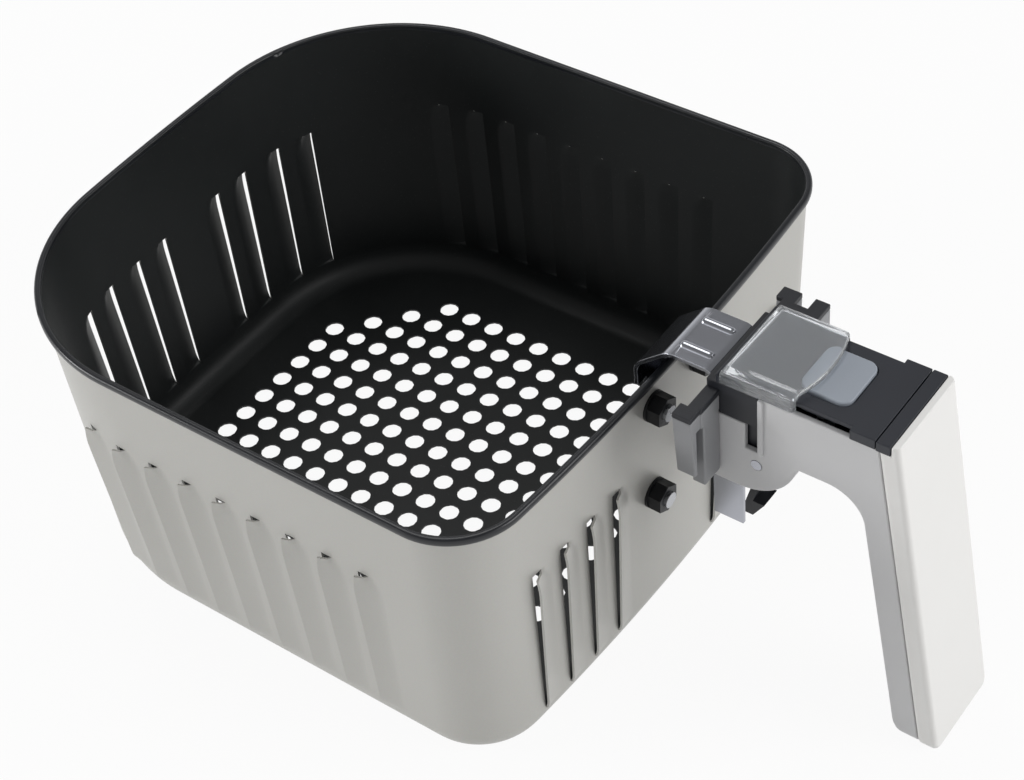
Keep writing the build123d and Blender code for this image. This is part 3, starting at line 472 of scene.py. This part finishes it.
def rolled_bead(turn, angle):
    """A rounded rectangle carried round the outline.

    Outwards it is half the width times the cosine to a power, upwards half the height times the sine
    to the same power."""
    power = 2.0 / bead_squareness
    out = bead_middle + bead_width / 2 * np.sign(np.cos(angle)) * np.abs(np.cos(angle)) ** power
    up = bead_height / 2 * np.sign(np.sin(angle)) * np.abs(np.sin(angle)) ** power
    x, y, normal_x, normal_y = basket_outline(turn, rim_half, 0.0)
    height = np.broadcast_to(basket_height - bead_height / 2 + up, np.broadcast_shapes(x.shape, up.shape))
    return np.stack([x + out * normal_x, y + out * normal_y, height], -1)


def closed_quads(rows, columns):
    """Quads of a grid that closes on itself both ways."""
    number = np.arange(rows * columns).reshape(rows, columns)
    down = np.roll(number, -1, axis=0)
    beside = np.roll(number, -1, axis=1)
    return np.stack([number, down, np.roll(down, -1, axis=1), beside], -1).reshape(-1, 4)


bead_turn = np.unique(np.concatenate([plain_turns, np.linspace(0.0, 9.96, 250)]))
bead_angle = np.linspace(0.0, 2 * np.pi, 24, endpoint=False)
bead_points = rolled_bead(bead_turn[:, None], bead_angle[None, :])

# Black enamel on the rolled edge: thicker than inside, so smoother, with a tight soft shine
rim_enamel, tree, output, place = new_material("black_rim_enamel")
wear = node(tree, "ShaderNodeTexNoise", {"Vector": place, "Scale": per_metre(30 * MM), "Detail": 3.0})
gloss = node(
    tree,
    "ShaderNodeMapRange",
    {"Value": wear.outputs["Fac"], "From Min": 0.3, "From Max": 0.7, "To Min": 0.26, "To Max": 0.36},
)
tone = node(
    tree,
    "ShaderNodeMix",
    {"Factor": wear.outputs["Fac"], 6: linear("#17191D"), 7: linear("#1F2126")},
    data_type="RGBA",
)
shader = node(
    tree,
    "ShaderNodeBsdfPrincipled",
    {"Base Color": tone.outputs[2], "Roughness": gloss.outputs["Result"]},
)
tree.links.new(shader.outputs["BSDF"], output.inputs["Surface"])
rim_bead = new_piece(
    "rim_bead",
    bead_points.reshape(-1, 3),
    closed_quads(bead_turn.size, bead_angle.size).tolist(),
    [rim_enamel],
)
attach(rim_bead, "basket")
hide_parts("rim_ring")

# Hanger strap: a strip of bright sheet steel, two ribs pressed along it for stiffness.
# It is bolted flat to the handle wall, bends over the rim and carries the handle block.


def dress(material, *names):
    """Gives carried-over solids their finish."""
    for name in names:
        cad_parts[name].material_slots[0].material = material


def joined_form(node_name):
    """A solid's loose triangles with their corners joined."""
    form = bmesh.new()
    form.from_mesh(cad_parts[node_name].data)
    bmesh.ops.remove_doubles(form, verts=form.verts, dist=0.005 * MM)
    return form


def formed_piece(name, form, material):
    """Puts a form into a mesh object at the origin, with its material."""
    mesh = bpy.data.meshes.new(name)
    form.to_mesh(mesh)
    form.free()
    mesh.materials.clear()
    mesh.materials.append(material)
    mesh.polygons.foreach_set("material_index", np.zeros(len(mesh.polygons), np.int32))
    piece = bpy.data.objects.new(name, mesh)
    bpy.context.scene.collection.objects.link(piece)
    return piece


def eased_piece(name, node_name, body, material, width):
    """A copy of a solid with its triangles joined into flat faces and a round on every sharp outer edge."""
    form = joined_form(node_name)
    bmesh.ops.dissolve_limit(form, angle_limit=np.radians(0.4), verts=form.verts, edges=form.edges)
    weights = form.edges.layers.float.new("bevel_weight_edge")
    for edge in form.edges:
        edge[weights] = float(edge.is_convex and edge.calc_face_angle(0.0) > np.radians(40))
    piece = formed_piece(name, form, material)
    piece.data.polygons.foreach_set("use_smooth", np.ones(len(piece.data.polygons), bool))
    piece.data.set_sharp_from_angle(angle=np.radians(32))
    ease = piece.modifiers.new("eased_edges", "BEVEL")
    ease.limit_method = "WEIGHT"
    ease.width = width
    ease.segments = 3
    ease.use_clamp_overlap = False
    settle = piece.modifiers.new("settled_normals", "WEIGHTED_NORMAL")
    settle.keep_sharp = True
    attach(piece, body)
    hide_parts(node_name)


# Bright rolled steel: mirror-like, a shade bluish, with faint rolling lines along the strip
bright_steel, tree, output, place = new_material("bright_rolled_steel")
stretched = node(tree, "ShaderNodeMapping", {"Vector": place, "Scale": (1.0, 0.03, 0.03)})
lines = node(
    tree, "ShaderNodeTexNoise", {"Vector": stretched.outputs["Vector"], "Scale": per_metre(0.8 * MM)}
)
gloss = node(
    tree,
    "ShaderNodeMapRange",
    {"Value": lines.outputs["Fac"], "From Min": 0.3, "From Max": 0.7, "To Min": 0.17, "To Max": 0.21},
)
shader = node(
    tree,
    "ShaderNodeBsdfPrincipled",
    {"Base Color": linear("#A9ABB2"), "Metallic": 1.0, "Roughness": gloss.outputs["Result"]},
)
tree.links.new(shader.outputs["BSDF"], output.inputs["Surface"])
dress(bright_steel, "latch_pin")
eased_piece("hanger_strap", "rim_bracket", "basket", bright_steel, 0.2 * MM)

# Screws and latch spring: turned and wound steel, zinc plated.
# The screws clamp the strap to the wall, the block to the strap and the two halves of the grip.
# The plating is a soft grey mirror with a faint spangle.
zinc, tree, output, place = new_material("zinc_plated_steel")
spangle = node(tree, "ShaderNodeTexNoise", {"Vector": place, "Scale": per_metre(1.5 * MM), "Detail": 3.0})
gloss = node(
    tree,
    "ShaderNodeMapRange",
    {"Value": spangle.outputs["Fac"], "From Min": 0.3, "From Max": 0.7, "To Min": 0.24, "To Max": 0.40},
)
tone = node(
    tree,
    "ShaderNodeMix",
    {"Factor": spangle.outputs["Fac"], 6: linear("#A6A8AC"), 7: linear("#BCBDC0")},
    data_type="RGBA",
)
shader = node(
    tree,
    "ShaderNodeBsdfPrincipled",
    {"Base Color": tone.outputs[2], "Metallic": 1.0, "Roughness": gloss.outputs["Result"]},
)
tree.links.new(shader.outputs["BSDF"], output.inputs["Surface"])
dress(zinc, "bracket_screws", "mount_screws", "grip_screws", "latch_spring")

# Button springs: a pair of coils wound from zinc plated wire, standing under the button.
# On the handle their feet stay put while their heads go down with the button; here they are one fixed
# piece.
wound_springs = formed_piece("wound_springs", joined_form("button_springs"), zinc)
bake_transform(wound_springs)
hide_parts("button_springs")

# Nuts and washers: pressed steel, blackened in a salt bath, screwed down on the outside of the wall.
# The black oxide is dull and slightly uneven.
black_oxide, tree, output, place = new_material("black_oxide_steel")
patch = node(tree, "ShaderNodeTexNoise", {"Vector": place, "Scale": per_metre(2.5 * MM), "Detail": 4.0})
tone = node(
    tree,
    "ShaderNodeMix",
    {"Factor": patch.outputs["Fac"], 6: linear("#111214"), 7: linear("#26272A")},
    data_type="RGBA",
)
gloss = node(
    tree,
    "ShaderNodeMapRange",
    {"Value": patch.outputs["Fac"], "From Min": 0.3, "From Max": 0.7, "To Min": 0.34, "To Max": 0.52},
)
shader = node(
    tree,
    "ShaderNodeBsdfPrincipled",
    {"Base Color": tone.outputs[2], "Metallic": 0.6, "Roughness": gloss.outputs["Result"]},
)
tree.links.new(shader.outputs["BSDF"], output.inputs["Surface"])
dress(black_oxide, "bracket_nuts", "bracket_washers")

# Handle block: black glass-filled nylon, moulded, screwed to the strap from behind.
# Its flat covers lie over the ears; the lever is moulded of the same stuff.
# The surface is a dull, faintly bluish black with a visible grain.


def moulded_plastic(name, dark, light, rough, grit, depth):
    """Spark-eroded moulded plastic: a fine even grain of the given grit, with a slight drift of tone."""
    material, tree, output, place = new_material(name)
    drift = node(tree, "ShaderNodeTexNoise", {"Vector": place, "Scale": per_metre(35 * MM), "Detail": 3.0})
    grain = node(tree, "ShaderNodeTexNoise", {"Vector": place, "Scale": per_metre(grit), "Detail": 2.0})
    tone = node(
        tree,
        "ShaderNodeMix",
        {"Factor": drift.outputs["Fac"], 6: linear(dark), 7: linear(light)},
        data_type="RGBA",
    )
    gloss = node(
        tree,
        "ShaderNodeMapRange",
        {
            "Value": grain.outputs["Fac"],
            "From Min": 0.3,
            "From Max": 0.7,
            "To Min": rough - 0.04,
            "To Max": rough + 0.04,
        },
    )
    relief = node(
        tree, "ShaderNodeBump", {"Height": grain.outputs["Fac"], "Strength": depth, "Distance": 0.1 * MM}
    )
    shader = node(
        tree,
        "ShaderNodeBsdfPrincipled",
        {
            "Base Color": tone.outputs[2],
            "Roughness": gloss.outputs["Result"],
            "IOR": 1.5,
            "Normal": relief.outputs["Normal"],
        },
    )
    tree.links.new(shader.outputs["BSDF"], output.inputs["Surface"])
    return material


black_nylon = moulded_plastic("moulded_black_nylon", "#15171C", "#1F2128", 0.48, 0.6 * MM, 0.15)
dress(black_nylon, "latch_lever")
eased_piece("handle_block", "mount_block", "basket", black_nylon, 0.4 * MM)

# Ears: grey glass-filled nylon, pushed into pockets of the block under its covers.
# Their grey is set darker than the handle's as painted shade from the covers above them; they have the same
# fine spark-eroded grain.
# Painted shade: this darker grey copy of the handle's plastic stands in for the shadow under the block's
# covers.
shaded_grey_nylon = moulded_plastic("moulded_grey_nylon_painted_shade", "#8B8C8F", "#97989B", 0.46, 0.6 * MM, 0.12)
eased_piece("block_side_ears", "block_ears", "basket", shaded_grey_nylon, 0.5 * MM)

# Handle body: collar, latch housing, neck and the back of the grip in one grey ABS moulding, painted.
# The screws of the strap hold it by bosses inside the collar. The paint is smooth and silky.
grey_abs = moulded_plastic("painted_grey_abs", "#CFCFD1", "#D8D8D9", 0.40, 0.8 * MM, 0.05)
eased_piece("handle_shell", "handle_body", "basket", grey_abs, 0.4 * MM)

# Grip face: a white ABS moulding that closes the hand side of the grip.
# Two screws from inside hold it. It is smooth, a shade warm and has a soft shine.
white_abs = moulded_plastic("moulded_white_abs", "#F1F0EE", "#F5F4F2", 0.34, 0.8 * MM, 0.04)
eased_piece("grip_cover", "grip_face", "basket", white_abs, 0.35 * MM)

# Top plate and end cap: black ABS mouldings. The plate snaps into the neck, the cap is pegged to the grip.
# Their fine spark-eroded grain makes them matt.
black_abs = moulded_plastic("matt_black_abs", "#20232B", "#272A33", 0.44, 0.6 * MM, 0.10)
eased_piece("neck_top_plate", "top_plate", "basket", black_abs, 0.35 * MM)
eased_piece("grip_end_cap", "end_cap", "basket", black_abs, 0.3 * MM)

# Button: a grey ABS moulding that stands on two springs and comes up through the top plate.
# Its skin is satin and a little bluish.
satin_abs = moulded_plastic("satin_grey_abs", "#9AA1AB", "#A5ACB6", 0.36, 0.7 * MM, 0.05)
eased_piece("thumb_button", "release_button", "button", satin_abs, 0.2 * MM)

# Guard: a clear polycarbonate moulding that slides along the top plate and over the button.
# It is glossy and see-through, with a faint haze from handling.
clear_pc, tree, output, place = new_material("clear_polycarbonate")
haze = node(tree, "ShaderNodeTexNoise", {"Vector": place, "Scale": per_metre(12 * MM), "Detail": 3.0})
gloss = node(
    tree,
    "ShaderNodeMapRange",
    {"Value": haze.outputs["Fac"], "From Min": 0.3, "From Max": 0.7, "To Min": 0.02, "To Max": 0.05},
)
shader = node(
    tree,
    "ShaderNodeBsdfPrincipled",
    {
        "Base Color": linear("#F2F5F8"),
        "Roughness": gloss.outputs["Result"],
        "IOR": 1.58,
        "Transmission Weight": 0.90,
    },
)
tree.links.new(shader.outputs["BSDF"], output.inputs["Surface"])
eased_piece("guard_hood", "button_guard", "guard", clear_pc, 0.08 * MM)

# Studio: a pale floor, a white surround and soft lamps in front, overhead and on the far left.
# Camera, mirror and glass rays see the floor nearly white; its own light keeps the soft shadow.
floor_reach = 6.0
floor_drop = 0.3 * MM
seen_white = 0.93
white_floor, tree, output, place = new_material("white_studio_floor")
path = node(tree, "ShaderNodeLightPath")
seen = node(
    tree,
    "ShaderNodeMath",
    {0: path.outputs["Is Camera Ray"], 1: path.outputs["Is Glossy Ray"]},
    operation="MAXIMUM",
)
seen = node(
    tree,
    "ShaderNodeMath",
    {0: seen.outputs[0], 1: path.outputs["Is Transmission Ray"]},
    operation="MAXIMUM",
)
share = node(tree, "ShaderNodeMath", {0: seen.outputs[0], 1: seen_white}, operation="MULTIPLY")
matt = node(tree, "ShaderNodeBsdfDiffuse", {"Color": linear("#F0F0EF")})
glow = node(tree, "ShaderNodeEmission", {"Color": linear("#FFFFFF"), "Strength": 1.0})
both = node(tree, "ShaderNodeMixShader", {0: share.outputs[0], 1: matt.outputs[0], 2: glow.outputs[0]})
tree.links.new(both.outputs[0], output.inputs["Surface"])
floor_corners = np.array([[-1, -1, 0], [1, -1, 0], [1, 1, 0], [-1, 1, 0]]) * floor_reach / 2
studio_floor = new_piece(
    "studio_floor", floor_corners - [0, 0, floor_drop], [[0, 1, 2, 3]], [white_floor]
)

# The surround is white to the camera and through glass; in mirrors it darkens from horizon to overhead
world_light = 0.32
mirror_overhead = 0.30
world = bpy.data.worlds.new("white_surround")
bpy.context.scene.world = world
world.use_nodes = True
tree = world.node_tree
tree.nodes.clear()
path = node(tree, "ShaderNodeLightPath")
heading = node(tree, "ShaderNodeSeparateXYZ", {0: node(tree, "ShaderNodeTexCoord").outputs["Generated"]})
mirrored = node(
    tree,
    "ShaderNodeMapRange",
    {
        "Value": heading.outputs["Z"],
        "From Min": 0.1,
        "From Max": 0.5,
        "To Min": 1.0,
        "To Max": mirror_overhead,
    },
)
strength = node(
    tree,
    "ShaderNodeMix",
    {"Factor": path.outputs["Is Glossy Ray"], "A": world_light, "B": mirrored.outputs["Result"]},
)
seen = node(
    tree,
    "ShaderNodeMath",
    {0: path.outputs["Is Camera Ray"], 1: path.outputs["Is Transmission Ray"]},
    operation="MAXIMUM",
)
strength = node(tree, "ShaderNodeMix", {"Factor": seen.outputs[0], "A": strength.outputs[0], "B": 1.0})
surround = node(
    tree, "ShaderNodeBackground", {"Color": linear("#FFFFFF"), "Strength": strength.outputs[0]}
)
node(tree, "ShaderNodeOutputWorld", {"Surface": surround.outputs[0]})


def soft_lamp(name, place, aim, size, watts):
    """A square soft box at a place, turned to an aim point."""
    light = bpy.data.lights.new(name, "AREA")
    light.shape = "SQUARE"
    light.size = size
    light.energy = watts
    lamp = bpy.data.objects.new(name, light)
    lamp.location = place
    lamp.rotation_euler = (Vector(aim) - Vector(place)).to_track_quat("-Z", "Y").to_euler()
    bpy.context.scene.collection.objects.link(lamp)


object_middle = (0.0, -0.05, 0.06)
soft_lamp("front_lamp", (0.45, -1.45, 0.80), object_middle, 0.9, 12.0)
soft_lamp("overhead_lamp", (0.35, 0.45, 1.35), object_middle, 0.6, 4.0)
soft_lamp("left_lamp", (-1.0, 1.15, 0.45), object_middle, 0.6, 11.0)

# Camera: the photograph's place, aim, roll and lens
camera_place = Vector((-0.43691, -0.41273, 0.62666))
camera_aim = Vector((0.00329, -0.04030, 0.060))
camera_roll = np.radians(-6.37)
forward = (camera_aim - camera_place).normalized()
level_right = forward.cross(Vector((0, 0, 1))).normalized()
level_up = level_right.cross(forward)
right = level_right * np.cos(camera_roll) + level_up * np.sin(camera_roll)
up = right.cross(forward)
camera_data = bpy.data.cameras.new("photo_camera")
camera_data.sensor_width = 36.0
camera_data.sensor_fit = "HORIZONTAL"
camera_data.lens = 77.75
camera = bpy.data.objects.new("photo_camera", camera_data)
turn_matrix = Matrix((right, up, -forward)).transposed()
camera.matrix_world = Matrix.Translation(camera_place) @ turn_matrix.to_4x4()
bpy.context.scene.collection.objects.link(camera)
bpy.context.scene.camera = camera
bpy.context.scene.view_settings.view_transform = "Standard"
